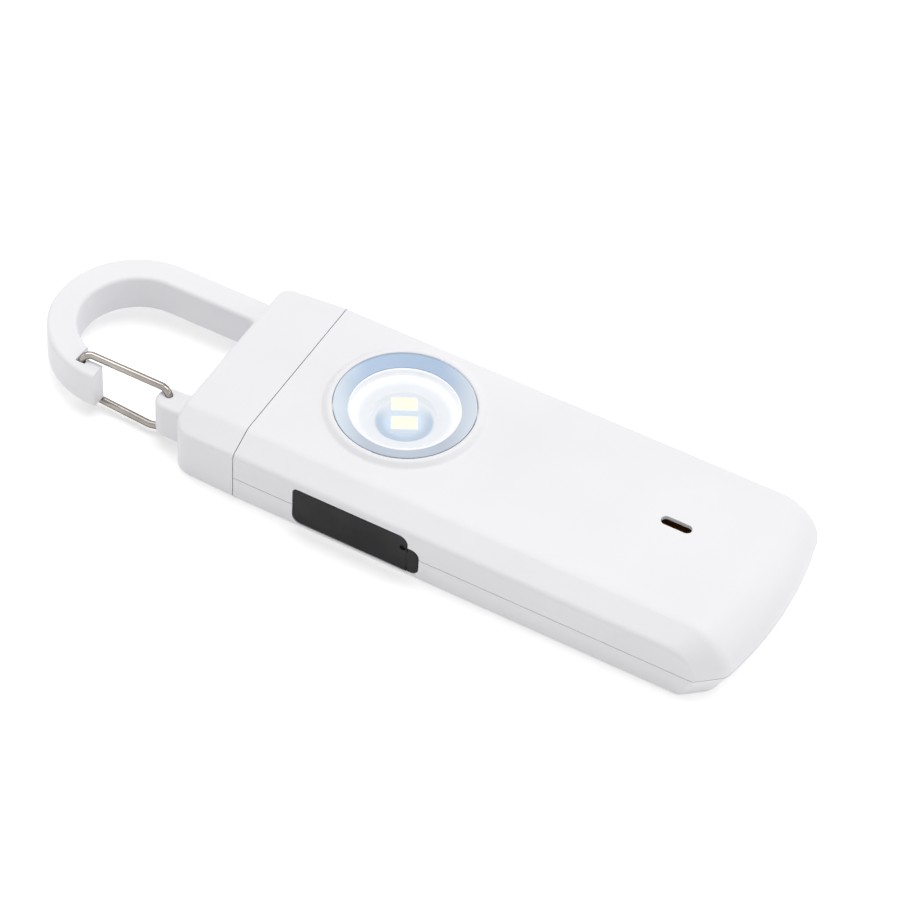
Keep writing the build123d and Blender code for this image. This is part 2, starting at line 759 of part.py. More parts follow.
with BuildPart() as tact_switch:
    with Locations((leg_x, face_axis_y, board_top)):
        Box(switch_side, switch_side, switch_height,
            align=(Align.CENTER, Align.CENTER, Align.MIN))
    chamfer(tact_switch.edges().filter_by(Axis.Z), length=switch_lid)
    with Locations((leg_x, face_axis_y, switch_top)):
        Cylinder(plunger_radius + run_fit / 2, button_travel + plunger_height,
                 align=(Align.CENTER, Align.CENTER, Align.MAX), mode=Mode.SUBTRACT)
tact_switch.part.label = "tact_switch"

with BuildPart() as switch_plunger:
    with Locations((leg_x, face_axis_y, plunger_top)):
        Cylinder(plunger_radius, plunger_height + plunger_height,
                 align=(Align.CENTER, Align.CENTER, Align.MAX))
    chamfer(switch_plunger.edges().sort_by(Axis.Z)[-1], length=plunger_radius / 4)
switch_plunger.part.label = "switch_plunger"

# Charging port: a folded shell with an insulating tongue
port_width = 7.5
port_height = 2.6
port_depth = 5.4
port_shell = 0.3
port_corner = 0.7
port_mouth_gap = 0.2
port_tongue_width = 4.2
port_tongue_thickness = 0.6
port_tongue_short = 0.8
port_back = 1.0
port_x = flap_x + flap_length / 2
port_y = near_y + wall + port_mouth_gap
port_z = board_top + port_height / 2

with BuildPart() as port_shell_part:
    with BuildSketch(side_plane(0, port_y)) as port_ring:
        with Locations((port_x, port_z)):
            RectangleRounded(port_width, port_height, port_corner)
            RectangleRounded(port_width - 2 * port_shell, port_height - 2 * port_shell,
                             port_corner - port_shell, mode=Mode.SUBTRACT)
    extrude(amount=-port_depth)
port_shell_part.part.label = "port_shell"

with BuildPart() as port_insert:
    with BuildSketch(side_plane(0, port_y + port_depth)):
        with Locations((port_x, port_z)):
            RectangleRounded(port_width - 2 * port_shell, port_height - 2 * port_shell,
                             port_corner - port_shell)
    extrude(amount=port_back)
    with BuildSketch(side_plane(0, port_y + port_depth - port_back)):
        with Locations((port_x, port_z + port_tongue_thickness / 2)):
            Rectangle(port_tongue_width, port_tongue_thickness)
    extrude(amount=port_depth - port_back - port_tongue_short)
port_insert.part.label = "port_insert"

# Rubber flap with a short plug, and the strap that holds it
flap_thickness = 1.25
flap_plug_width = 6.0
flap_plug_height = 0.7
flap_plug_reach = 1.3
flap_plug_gap = 0.15
dimple_radius = 0.45
dimple_depth = 0.25
dimple_inset = 0.7
dimple_drop = 2.05

with BuildPart() as usb_flap:
    extrude(flap_outline(0), amount=-flap_thickness)
    rim = usb_flap.faces().sort_by(Axis.Y)[0].edges()
    rim = rim.filter_by(lambda e: e.center().X < neck_x - 2 * seat_gap)
    chamfer(rim, length=seat_gap)
    with BuildSketch(side_plane(0, near_y + flap_thickness)):
        with Locations((port_x, port_z - port_height / 2 + port_shell + flap_plug_gap)):
            Rectangle(flap_plug_width, flap_plug_height, align=(Align.CENTER, Align.MIN))
    extrude(amount=-flap_plug_reach - port_mouth_gap)
    with Locations((neck_x - dimple_inset, near_y, flap_bottom_z + flap_height - dimple_drop)):
        Cylinder(dimple_radius, 2 * dimple_depth, rotation=(90, 0, 0), mode=Mode.SUBTRACT)
usb_flap.part.label = "usb_flap"

strap_lug = 0.5
strap_lug_step = 0.5

with BuildPart() as flap_strap:
    extrude(strap_outline(0, neck_x + neck_gap), amount=-wall)
    with BuildSketch(side_plane(0, near_y + wall)):
        with Locations((neck_x + neck_gap, wall + seat_gap)):
            Rectangle(strap_length + strap_lug_step, strap_height,
                      align=(Align.MIN, Align.MIN))
    extrude(amount=-strap_lug)
flap_strap.part.label = "flap_strap"

# Socket on the board for the plug and its pin, with a contact leaf beside the pin
socket_length = 6.4
socket_width = 12.6
socket_side = 0.8
socket_pocket = 1.8
socket_roof = 0.6
leaf_thickness = 0.25
leaf_height = 1.6
leaf_length = 4.0
leaf_gap = 0.05
socket_x = seam_x + board_from_seam
socket_mouth_x = seam_x + plug_reach + free_gap
socket_top = plug_z + plug_height / 2

with BuildPart() as pin_socket:
    with Locations((socket_x, plug_y, board_top)):
        Box(socket_length, socket_width, socket_top - board_top,
            align=(Align.MIN, Align.CENTER, Align.MIN))
    chamfer(pin_socket.edges().group_by(Axis.X)[-1].filter_by(Axis.Z), length=socket_side)
    with Locations((socket_x, plug_y, plug_z - plug_height / 2 - seat_gap)):
        Box(socket_mouth_x - socket_x, plug_width + 2 * seat_gap, plug_height + 2 * seat_gap,
            align=(Align.MIN, Align.CENTER, Align.MIN), mode=Mode.SUBTRACT)
    with BuildSketch(end_plane(socket_mouth_x)):
        with Locations((plug_y, plug_z)):
            Circle(pin_radius + run_fit)
    extrude(amount=pin_length, mode=Mode.SUBTRACT)
    with Locations((socket_mouth_x, plug_y + pin_radius + leaf_gap, plug_z)):
        Box(leaf_length + seat_gap, leaf_thickness + seat_gap, leaf_height + seat_gap,
            align=(Align.MIN, Align.MIN, Align.CENTER), mode=Mode.SUBTRACT)
pin_socket.part.label = "pin_socket"

with BuildPart() as contact_leaf:
    with Locations((socket_mouth_x, plug_y + pin_radius + leaf_gap, plug_z)):
        Box(leaf_length, leaf_thickness, leaf_height, align=(Align.MIN, Align.MIN, Align.CENTER))
    bends = contact_leaf.edges().filter_by(Axis.Z).group_by(Axis.X)[0]
    fillet(bends, radius=leaf_thickness / 3)
contact_leaf.part.label = "contact_leaf"

# Battery pouch on its tape, between the fences, under a foam pad
cell_edge = 0.8
tape_inset = 1.0
pad_inset = 1.5
cell_mid_x = cell_x + cell_width / 2

with BuildPart() as battery:
    with Locations((cell_mid_x, cell_y, cell_z)):
        Box(cell_width, cell_length, cell_thickness, align=(Align.CENTER, Align.CENTER, Align.MIN))
    fillet(battery.edges().filter_by(Axis.Y), radius=cell_edge)
battery.part.label = "battery"

with BuildPart() as battery_tape:
    with Locations((cell_mid_x, cell_y, wall)):
        Box(cell_width - 2 * tape_inset, cell_length - 2 * tape_inset, tape_thickness,
            align=(Align.CENTER, Align.CENTER, Align.MIN))
battery_tape.part.label = "battery_tape"

with BuildPart() as foam_pad:
    with Locations((cell_mid_x, cell_y, pad_z)):
        Box(cell_width - 2 * pad_inset, cell_length - 2 * pad_inset, pad_thickness,
            align=(Align.CENTER, Align.CENTER, Align.MIN))
foam_pad.part.label = "foam_pad"

# Sounder disc with its ceramic below and a foam gasket above
ceramic_thickness = 0.2
gasket_outer_radius = 9.9
gasket_inner_radius = 8.9

with BuildPart() as piezo_disc:
    with Locations((slot_x, face_axis_y, disc_z)):
        Cylinder(disc_radius, disc_thickness, align=(Align.CENTER, Align.CENTER, Align.MIN))
piezo_disc.part.label = "piezo_disc"

with BuildPart() as piezo_ceramic:
    with Locations((slot_x, face_axis_y, disc_z)):
        Cylinder(ceramic_radius, ceramic_thickness, align=(Align.CENTER, Align.CENTER, Align.MAX))
piezo_ceramic.part.label = "piezo_ceramic"

with BuildPart() as sounder_gasket:
    with BuildSketch(Plane.XY.offset(disc_z + disc_thickness)):
        with Locations((slot_x, face_axis_y)):
            Circle(gasket_outer_radius)
            Circle(gasket_inner_radius, mode=Mode.SUBTRACT)
    extrude(amount=ceiling_z - disc_z - disc_thickness)
sounder_gasket.part.label = "sounder_gasket"

# Leads of the battery: out of its end and down onto the board
wire_sides = 8
lead_bend = 0.8
cell_lead_z = 4.7
cell_lead_reach = 2.8
cell_lead_pitch = 2.0
cell_lead_in = 5.5
cell_lead_y = inner_far_y - cell_lead_in


def wire(points, bend):
    # A round lead along straight runs joined by arcs
    with BuildPart() as lead:
        with BuildLine() as route:
            FilletPolyline(*points, radius=bend)
        with BuildSketch(Plane(origin=route.line @ 0, z_dir=route.line % 0)):
            RegularPolygon(wire_radius, wire_sides)
        sweep()
    return lead.part


def cell_lead(y):
    return wire(
        (
            (cell_x, y, cell_lead_z),
            (cell_x - cell_lead_reach, y, cell_lead_z),
            (cell_x - cell_lead_reach, y, board_top),
        ),
        lead_bend,
    )


with BuildPart() as battery_lead_red:
    add(cell_lead(cell_lead_y))
battery_lead_red.part.label = "battery_lead_red"

with BuildPart() as battery_lead_black:
    add(cell_lead(cell_lead_y - cell_lead_pitch))
battery_lead_black.part.label = "battery_lead_black"

# Leads of the sounder: down from the disc, out through the notch of its ring
# wall, along the near wall past the battery, and down onto the board
lane_y = near_y + wall + lead_lane / 2
lane_start = 9.4
lane_stop = 0.4
pad_reach = 2.4
pad_in = 1.4
black_pad_in = 0.5
lane_bend = 3.0
pad_bend = 2.5
black_pad_reach = 1.4
black_pad_bend = 2.0
red_in = 4.0
red_side = 3.1
red_bend = 0.55
red_z = 4.3
black_in = 6.8
black_side = 5.0
lane_x = slot_x - lane_start
lane_stop_x = cell_x - lane_stop
pad_x = lane_stop_x - pad_reach
pad_y = inner_near_y + pad_in
black_pad_y = inner_near_y + black_pad_in
black_z = board_top + wire_radius

with BuildPart() as sounder_lead_red:
    add(wire(
        (
            (slot_x - red_in, face_axis_y - red_side, disc_z - ceramic_thickness),
            (slot_x - red_in, face_axis_y - red_side, red_z),
            (lane_x, lane_y, red_z),
            (lane_stop_x, lane_y, red_z),
            (pad_x, pad_y, red_z),
            (pad_x, pad_y, board_top),
        ),
        (red_bend, lane_bend, pad_bend, red_bend),
    ))
sounder_lead_red.part.label = "sounder_lead_red"

with BuildPart() as sounder_lead_black:
    add(wire(
        (
            (slot_x - black_in, face_axis_y - black_side, disc_z),
            (slot_x - black_in, face_axis_y - black_side, black_z),
            (lane_x, lane_y, black_z),
            (lane_stop_x, lane_y, black_z),
            (lane_stop_x - black_pad_reach, black_pad_y, black_z),
        ),
        (lead_bend, lane_bend, black_pad_bend),
    ))
sounder_lead_black.part.label = "sounder_lead_black"

# Coil that raises the sounder's voltage: a ferrite drum and its winding
coil_radius = 2.0
coil_core_radius = 0.9
coil_winding_radius = 1.7
coil_height = 2.4
coil_rim = 0.45
coil_end_in = 4.0
coil_side_in = 4.0
coil_x = board_end_x - coil_end_in
coil_y = inner_near_y + coil_side_in

with BuildPart() as coil_core:
    with BuildSketch(side_plane(coil_x, coil_y)):
        with BuildLine():
            Polyline(
                (0, board_top),
                (coil_radius, board_top),
                (coil_radius, board_top + coil_rim),
                (coil_core_radius, board_top + coil_rim),
                (coil_core_radius, board_top + coil_height - coil_rim),
                (coil_radius, board_top + coil_height - coil_rim),
                (coil_radius, board_top + coil_height),
                (0, board_top + coil_height),
                close=True,
            )
        make_face()
    revolve(axis=Axis((coil_x, coil_y, 0), (0, 0, 1)))
coil_core.part.label = "coil_core"

with BuildPart() as coil_winding:
    with BuildSketch(Plane.XY.offset(board_top + coil_rim)):
        with Locations((coil_x, coil_y)):
            Circle(coil_winding_radius)
            Circle(coil_core_radius, mode=Mode.SUBTRACT)
    extrude(amount=coil_height - 2 * coil_rim)
coil_winding.part.label = "coil_winding"

# Chips with their legs
leg_pitch = 1.1
leg_width = 0.45
leg_rise = 0.15
chip_leg = 0.9
controller_in = 6.6
controller_side_in = 4.1
controller_length = 4.9
controller_width = 3.9
controller_height = 1.2
charger_end_in = 5.0
charger_side_in = 3.8
charger_length = 2.9
charger_width = 1.6
charger_height = 1.0
controller_legs = 4
charger_legs = 2
controller_x = board_x + controller_in
controller_y = inner_near_y + controller_side_in
charger_x = board_end_x - charger_end_in
charger_y = inner_far_y - charger_side_in


def leaded_chip(x, y, length, width, height, legs):
    # A moulded body with flat legs along its two long sides
    with BuildPart() as chip:
        with Locations((x, y, board_top)):
            Box(length, width, height, align=(Align.CENTER, Align.CENTER, Align.MIN))
        chamfer(chip.edges().group_by(Axis.Z)[-1], length=leg_rise)
        with Locations((x, y, board_top)):
            with GridLocations(leg_pitch, 0, legs, 1):
                Box(leg_width, width + 2 * chip_leg, leg_rise,
                    align=(Align.CENTER, Align.CENTER, Align.MIN))
    return chip.part


with BuildPart() as controller_chip:
    add(leaded_chip(controller_x, controller_y, controller_length, controller_width,
                    controller_height, controller_legs))
controller_chip.part.label = "controller_chip"

with BuildPart() as charger_chip:
    add(leaded_chip(charger_x, charger_y, charger_length, charger_width, charger_height,
                    charger_legs))
charger_chip.part.label = "charger_chip"

# Small parts soldered on the board
capacitor_length = 2.0
capacitor_width = 1.25
capacitor_height = 0.9
capacitor_pitch = 2.6
capacitor_in = 11.6
capacitor_side_in = 3.1
resistor_length = 1.6
resistor_width = 0.8
resistor_height = 0.45
resistor_pitch_x = 2.2
resistor_pitch_y = 1.5
resistor_in = 3.9
resistor_side_in = 2.4
charge_led_end_in = 4.4
charge_led_side_in = 0.8
capacitor_x = board_x + capacitor_in
capacitor_y = inner_far_y - capacitor_side_in
resistor_x = board_x + resistor_in
resistor_y = inner_far_y - resistor_side_in
charge_led_x = board_end_x - charge_led_end_in
charge_led_y = inner_near_y + charge_led_side_in

with BuildPart() as capacitors:
    with Locations((capacitor_x, capacitor_y, board_top)):
        with GridLocations(capacitor_pitch, 0, 3, 1):
            Box(capacitor_width, capacitor_length, capacitor_height,
                align=(Align.CENTER, Align.CENTER, Align.MIN))
capacitors.part.label = "capacitors"

with BuildPart() as resistors:
    with Locations((resistor_x, resistor_y, board_top)):
        with GridLocations(resistor_pitch_x, resistor_pitch_y, 2, 2):
            Box(resistor_length, resistor_width, resistor_height,
                align=(Align.CENTER, Align.CENTER, Align.MIN))
resistors.part.label = "resistors"

with BuildPart() as charge_led:
    with Locations((charge_led_x, charge_led_y, board_top)):
        Box(resistor_length, resistor_width, resistor_height,
            align=(Align.CENTER, Align.CENTER, Align.MIN))
charge_led.part.label = "charge_led"

pieces = (
    top_case, bottom_case, hook_cap, cap_plate, pull_pin, gate_wire, lens_button, tint_ring,
    reflector, white_leds, main_board, board_screws, tact_switch, switch_plunger,
    port_shell_part, port_insert, usb_flap, flap_strap, pin_socket, contact_leaf, battery,
    battery_tape, foam_pad, piezo_disc, piezo_ceramic, sounder_gasket, battery_lead_red,
    battery_lead_black, sounder_lead_red, sounder_lead_black, coil_core, coil_winding,
    controller_chip, charger_chip, capacitors, resistors, charge_led,
)
for piece in pieces:
    export_step(piece.part, "parts/" + piece.part.label + ".step")
    print(piece.part.label, len(piece.part.solids()), round(piece.part.volume, 3),
          piece.part.is_valid)
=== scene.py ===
import math

import bmesh
import bpy
from mathutils import Matrix, Vector


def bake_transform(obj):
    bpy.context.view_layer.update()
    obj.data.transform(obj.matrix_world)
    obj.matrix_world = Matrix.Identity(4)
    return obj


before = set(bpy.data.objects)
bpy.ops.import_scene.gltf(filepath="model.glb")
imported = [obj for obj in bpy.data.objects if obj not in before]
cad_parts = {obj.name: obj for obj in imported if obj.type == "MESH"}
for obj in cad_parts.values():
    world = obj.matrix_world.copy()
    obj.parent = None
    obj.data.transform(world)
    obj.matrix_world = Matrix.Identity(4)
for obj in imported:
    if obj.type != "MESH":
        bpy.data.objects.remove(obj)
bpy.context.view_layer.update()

MM = 0.001

# Camera: the photograph's viewing angle, worked out from the alarm's edges. The lens and the sensor
# are in mm, the distances in metres
VIEW_AZ = math.radians(25.68)
VIEW_EL = math.radians(46.98)
VIEW_ROLL = math.radians(4.04)
VIEW_DISTANCE = 0.4533
VIEW_TARGET = Vector((2.51, 7.27, 0.0)) * MM
VIEW_LENS = 136.16
VIEW_SENSOR = 36.0
VIEW_NEAREST = 0.01

# The button's axis and the two light chips under it, in mm
BUTTON_X = -2.18
BUTTON_Y = 2.6
CHIP_TURN = math.radians(29.0)
CHIP_SHIFT = 0.75
CHIP_PITCH = 3.4

# Where the button's colours change, in mm: each pair is the start and the end of a change.
# Reach is from the axis, along and across are by the chips' long side. The cup's well and rim spans
# place painted shade and painted glow, the ring's spans place painted shade and painted light, and
# the disc's skirt also takes a painted glow
DISC_SKIRT_REACH = (7.05, 7.3)
WINDOW_ALONG = (1.6, 1.7)
WINDOW_ACROSS = (1.0, 1.12)
# The cup's painted shade and painted blue glow in its well, and its painted glow at the rim
PAINTED_SHADE_WALL_REACH = (4.1, 3.6)
PAINTED_SHADE_NEAR_ACROSS = (3.4, 0.0)
PAINTED_WELL_GLOW_REACH = (2.0, 3.4)
PAINTED_RIM_GLOW_REACH = (5.6, 6.8)
# The ring's painted shade on its near side and painted light at its two sides
RING_PAINTED_SHADE_ACROSS = (-8.0, 6.0)
RING_PAINTED_LIGHT_ALONG = (4.5, 9.4)

# How solid the disc's clear middle is, where its skirt is 1
DISC_VEIL = 0.2

# The web of rubber in the flap's neck, in mm: its middle, its size, the round of its edges, how
# many slices it is cut into to bend, and how near to a cut a vertex counts as on it
WEB_MIDDLE = Vector((8.175, -14.7, 2.9))
WEB_SIZE = Vector((1.35, 0.5, 2.8))
WEB_EDGE = 0.08
WEB_SLICES = 18
WEB_CUT_REACH = 1e-4

# The studio: half the floor's side in metres, the light that the floor gives off where it is
# seen, and the world's strength as light and as background
FLOOR_REACH = 3.0
FLOOR_LIFT = 0.3
WORLD_LIGHT = 0.5
WORLD_SEEN = 1.0

# Textures: where most values of a noise lie, and the bands that a wave draws in one unit
NOISE_LOW = 0.32
NOISE_HIGH = 0.68
WAVE_BANDS = 20.0 / (2.0 * math.pi)

# A Mix node's colour sockets go by number, because several of its sockets share a name
MIX_SHARE, MIX_FIRST, MIX_SECOND, MIX_RESULT = 0, 6, 7, 2


def linear(text):
    # sRGB hex to linear values
    values = []
    for start in (0, 2, 4):
        c = int(text[start:start + 2], 16) / 255
        values.append(c / 12.92 if c <= 0.04045 else ((c + 0.055) / 1.055) ** 2.4)
    return (*values, 1.0)


def per_metre(size):
    # A texture's scale for marks this many mm apart
    return 1.0 / (size * MM)


def add_node(tree, kind, sockets, **settings):
    # One node with its settings. An input takes a value, a hex colour or the output that feeds it
    node = tree.nodes.new(kind)
    for key, value in settings.items():
        setattr(node, key, value)
    for key, value in sockets.items():
        if isinstance(value, bpy.types.NodeSocket):
            tree.links.new(value, node.inputs[key])
        else:
            node.inputs[key].default_value = linear(value) if isinstance(value, str) else value
    return node


def start_material(name):
    # An empty material, and the place on the object that its patterns follow
    mat = bpy.data.materials.new(name)
    mat.use_nodes = True
    mat.node_tree.nodes.clear()
    place = add_node(mat.node_tree, "ShaderNodeTexCoord", {}).outputs["Object"]
    return mat, mat.node_tree, place


def close_material(tree, color, rough, normal, **constants):
    # The shader, with its constants on its own sockets
    sockets = {"Base Color": color, "Roughness": rough, "Normal": normal}
    for key, value in constants.items():
        sockets[key.replace("_", " ")] = value
    shader = add_node(tree, "ShaderNodeBsdfPrincipled", sockets)
    add_node(tree, "ShaderNodeOutputMaterial", {"Surface": shader.outputs["BSDF"]})


def drift(tree, place, size, low, high):
    # A value that wanders between two over some mm
    noise = add_node(tree, "ShaderNodeTexNoise",
                     {"Vector": place, "Scale": per_metre(size), "Detail": 2.0})
    span = add_node(tree, "ShaderNodeMapRange",
                    {"Value": noise.outputs["Fac"], "From Min": NOISE_LOW, "From Max": NOISE_HIGH,
                     "To Min": low, "To Max": high})
    return span.outputs["Result"]


def tones(tree, place, size, dark, light):
    # A colour that wanders between two near tones over some mm
    tone = add_node(tree, "ShaderNodeMix",
                    {MIX_SHARE: drift(tree, place, size, 0.0, 1.0), MIX_FIRST: dark,
                     MIX_SECOND: light}, data_type="RGBA")
    return tone.outputs[MIX_RESULT]


def grit(tree, place, size, depth):
    # The skin that casting, pressing or drawing leaves: its grit and its depth in mm
    noise = add_node(tree, "ShaderNodeTexNoise",
                     {"Vector": place, "Scale": per_metre(size), "Detail": 3.0})
    bump = add_node(tree, "ShaderNodeBump",
                    {"Height": noise.outputs["Fac"], "Distance": depth * MM})
    return bump.outputs["Normal"]


def raised_pattern(tree, height, depth, dark, light):
    # A pattern's colour and relief: dark and low where it is 0, light and raised where it is 1
    color = add_node(tree, "ShaderNodeMix",
                     {MIX_SHARE: height, MIX_FIRST: dark, MIX_SECOND: light}, data_type="RGBA")
    bump = add_node(tree, "ShaderNodeBump", {"Height": height, "Distance": depth * MM})
    return color.outputs[MIX_RESULT], bump.outputs["Normal"]


def moulded(name, dark, light, size, depth, rough, **constants):
    # Moulded plastic or rubber, lacquer or fired ceramic: even colour, a skin as the work left it
    mat, tree, place = start_material(name)
    tone_size, gloss_size = 22.0, 5.0
    close_material(tree, tones(tree, place, tone_size, dark, light),
                   drift(tree, place, gloss_size, *rough), grit(tree, place, size, depth),
                   **constants)
    return mat


def bare_metal(name, dark, light, size, depth, rough, **constants):
    # Drawn, rolled or pressed metal: clear reflections, softened by the marks of the work
    mat, tree, place = start_material(name)
    tone_size, gloss_size = 6.0, 3.0
    close_material(tree, tones(tree, place, tone_size, dark, light),
                   drift(tree, place, gloss_size, *rough), grit(tree, place, size, depth),
                   Metallic=1.0, **constants)
    return mat


def solder_masked_glass(name, dark, light):
    # Glass-cloth laminate under green solder mask: the weave shows as faint squares
    mat, tree, place = start_material(name)
    thread_pitch, thread_depth, gloss_size = 0.45, 0.004, 4.0
    warp, weft = (add_node(tree, "ShaderNodeTexWave",
                           {"Vector": place, "Scale": per_metre(thread_pitch) / WAVE_BANDS},
                           bands_direction=way).outputs["Fac"] for way in "XY")
    cloth = add_node(tree, "ShaderNodeMath", {0: warp, 1: weft}, operation="MULTIPLY")
    color, normal = raised_pattern(tree, cloth.outputs["Value"], thread_depth, dark, light)
    close_material(tree, color, drift(tree, place, gloss_size, low=0.28, high=0.4), normal)
    return mat


def wound_copper(name, dark, light):
    # Enamelled copper wire, wound: a stack of fine round turns with a warm gloss
    mat, tree, place = start_material(name)
    wire_pitch, wire_depth, gloss_size = 0.14, 0.03, 2.0
    stack = add_node(tree, "ShaderNodeTexWave",
                     {"Vector": place, "Scale": per_metre(wire_pitch) / WAVE_BANDS},
                     bands_direction="Z")
    color, normal = raised_pattern(tree, stack.outputs["Fac"], wire_depth, dark, light)
    close_material(tree, color, drift(tree, place, gloss_size, low=0.2, high=0.34), normal,
                   Metallic=1.0)
    return mat


def pouch_foil(name, dark, light):
    # Aluminium laminate, pressed round a soft cell: bright, with shallow creases
    mat, tree, place = start_material(name)
    tone_size, gloss_size, crease_size, crease_depth = 8.0, 3.0, 3.5, 0.12
    crease = add_node(tree, "ShaderNodeTexNoise",
                      {"Vector": place, "Scale": per_metre(crease_size), "Detail": 4.0,
                       "Distortion": 0.6})
    bump = add_node(tree, "ShaderNodeBump",
                    {"Height": crease.outputs["Fac"], "Distance": crease_depth * MM})
    close_material(tree, tones(tree, place, tone_size, dark, light),
                   drift(tree, place, gloss_size, low=0.28, high=0.42), bump.outputs["Normal"],
                   Metallic=1.0)
    return mat


def cell_foam(name, dark, light):
    # Cut closed-cell foam: dull, pitted by its cut cells
    mat, tree, place = start_material(name)
    cell_size, cell_depth = 0.4, 0.08
    cells = add_node(tree, "ShaderNodeTexVoronoi",
                     {"Vector": place, "Scale": per_metre(cell_size)})
    color, normal = raised_pattern(tree, cells.outputs["Distance"], cell_depth, dark, light)
    close_material(tree, color, rough=0.9, normal=normal)
    return mat


# Sizes and depths of grit are in mm. The real marks on these surfaces are 0.01 to 0.1 mm wide, too
# fine to show, so each is drawn as coarse as it needs to show

# Moulded ABS of the case, cap and hook: an even warm white with a soft sheen from an eroded tool
white_abs = moulded("moulded_white_abs", "EDEDF0", "F1F1F4", size=0.5, depth=0.0022,
                    rough=(0.34, 0.46), Specular_IOR_Level=0.3)
# The back shell is the same ABS, from a duller tool
back_abs = moulded("moulded_white_abs_back", "EEEEF1", "F2F2F5", size=0.5, depth=0.003,
                   rough=(0.38, 0.5), Specular_IOR_Level=0.3)
# Drawn stainless spring wire of the gate, the pin and the screws: bright, slightly warm
drawn_steel = bare_metal("drawn_stainless_steel", "928C87", "ACA6A0", size=1.1, depth=0.001,
                         rough=(0.08, 0.14), Specular_Tint="2E2824")
# Rolled and tinned steel sheet of the charging socket: soft grey gloss
tinned_steel = bare_metal("rolled_tinned_steel", "A8A8AA", "C2C2C2", size=0.8, depth=0.002,
                          rough=(0.24, 0.38))
# Rolled spring brass of the contact leaf: yellow, with a clear gloss
rolled_brass = bare_metal("rolled_spring_brass", "B8924A", "D2AE62", size=0.8, depth=0.002,
                          rough=(0.2, 0.34))
# Pressed brass of the sounder disc, warm and dull: its orange-brown is painted shade, brass as it
# looks in the dark of its slot
brass_painted_shade = moulded("pressed_brass_painted_shade", "B07A3C", "C8934E", size=0.6, depth=0.002,
                          rough=(0.34, 0.48), Metallic=0.6)
# Moulded silicone rubber of the charging flap: deep black with a soft dull bloom, no sharp
# highlight
black_silicone = moulded("moulded_black_silicone", "151518", "1A1A1D", size=0.4, depth=0.0055,
                         rough=(0.52, 0.66), Specular_IOR_Level=0.25)
# Moulded black nylon of the socket, the switch and the chips: dull black with a grey sheen
black_nylon = moulded("moulded_black_nylon", "111113", "19191C", size=0.4, depth=0.003,
                      rough=(0.42, 0.55))
# Green solder mask on glass-cloth laminate
green_board = solder_masked_glass("solder_masked_glass_laminate", "0E4E2A", "16603A")
# Aluminium pouch of the battery
cell_pouch = pouch_foil("pressed_aluminium_pouch", "9A9CA0", "B7B9BC")
# Grey foam of the tape, the pad and the sounder's gasket
grey_foam = cell_foam("cut_closed_cell_foam", "343436", "4E4E50")
# Fired silver on piezo ceramic: matt, off-white
piezo_white = moulded("fired_piezo_ceramic", "CFCBC0", "DCD8CE", size=0.3, depth=0.002,
                      rough=(0.5, 0.6))
# Extruded PVC on the leads: smooth, with a soft gloss
red_pvc = moulded("extruded_red_pvc", "A81613", "BC201A", size=0.9, depth=0.001,
                  rough=(0.36, 0.46))
black_pvc = moulded("extruded_black_pvc", "0D0D0E", "151516", size=0.9, depth=0.001,
                    rough=(0.36, 0.46))
# Sintered ferrite of the coil's drum: dark, dry and grainy
grey_ferrite = moulded("sintered_ferrite", "1E1E1F", "2A2A2B", size=0.25, depth=0.012,
                       rough=(0.55, 0.7))
# Enamelled copper wire of the coil
coil_copper = wound_copper("wound_enamelled_copper", "8A4620", "B86833")
# Sintered ceramic chips of the board, tan and dull, and black and glazed
tan_ceramic = moulded("sintered_tan_ceramic", "8C714F", "9F845F", size=0.25, depth=0.003,
                      rough=(0.45, 0.58))
black_ceramic = moulded("glazed_black_ceramic", "0F0F11", "1A1A1C", size=0.5, depth=0.001,
                        rough=(0.3, 0.42))
# Cast epoxy of the small charging light: milky yellow, unlit
cast_epoxy = moulded("cast_yellow_epoxy", "DAD29A", "E8E1B4", size=0.6, depth=0.001,
                     rough=(0.25, 0.35))


def from_button(tree, place):
    # The place counted from the button's axis, in mm, with its height left out
    moved = add_node(tree, "ShaderNodeVectorMath",
                     {0: place, 1: (BUTTON_X * MM, BUTTON_Y * MM, 0.0)}, operation="SUBTRACT")
    scaled = add_node(tree, "ShaderNodeVectorMath",
                      {0: moved.outputs["Vector"], 1: (1.0 / MM, 1.0 / MM, 0.0)},
                      operation="MULTIPLY")
    return scaled.outputs["Vector"]


def by_chips(tree, spot):
    # The same place counted along the chips and across them
    turned = add_node(tree, "ShaderNodeVectorRotate", {"Vector": spot, "Angle": -CHIP_TURN},
                      rotation_type="Z_AXIS")
    apart = add_node(tree, "ShaderNodeSeparateXYZ", {"Vector": turned.outputs["Vector"]})
    return {"along": apart.outputs["X"], "across": apart.outputs["Y"]}


def apart_from(tree, value, middle):
    # Distance of a value from a middle one
    less = add_node(tree, "ShaderNodeMath", {0: value, 1: middle}, operation="SUBTRACT")
    return add_node(tree, "ShaderNodeMath", {0: less.outputs["Value"]},
                    operation="ABSOLUTE").outputs["Value"]


def fade(tree, value, span, first, second):
    # A colour that passes smoothly from a first to a second over a span of a value
    low, high = span
    share = add_node(tree, "ShaderNodeMapRange",
                     {"Value": value, "From Min": low, "From Max": high},
                     interpolation_type="SMOOTHSTEP")
    color = add_node(tree, "ShaderNodeMix",
                     {MIX_SHARE: share.outputs["Result"], MIX_FIRST: first, MIX_SECOND: second},
                     data_type="RGBA")
    return color.outputs[MIX_RESULT]


def joined_spans(tree, operation, *spans):
    # Two smooth rises, each over a span of its own value, joined into one share
    first, second = (add_node(tree, "ShaderNodeMapRange",
                              {"Value": value, "From Min": low, "From Max": high},
                              interpolation_type="SMOOTHSTEP").outputs["Result"]
                     for value, (low, high) in spans)
    return add_node(tree, "ShaderNodeMath", {0: first, 1: second},
                    operation=operation).outputs["Value"]


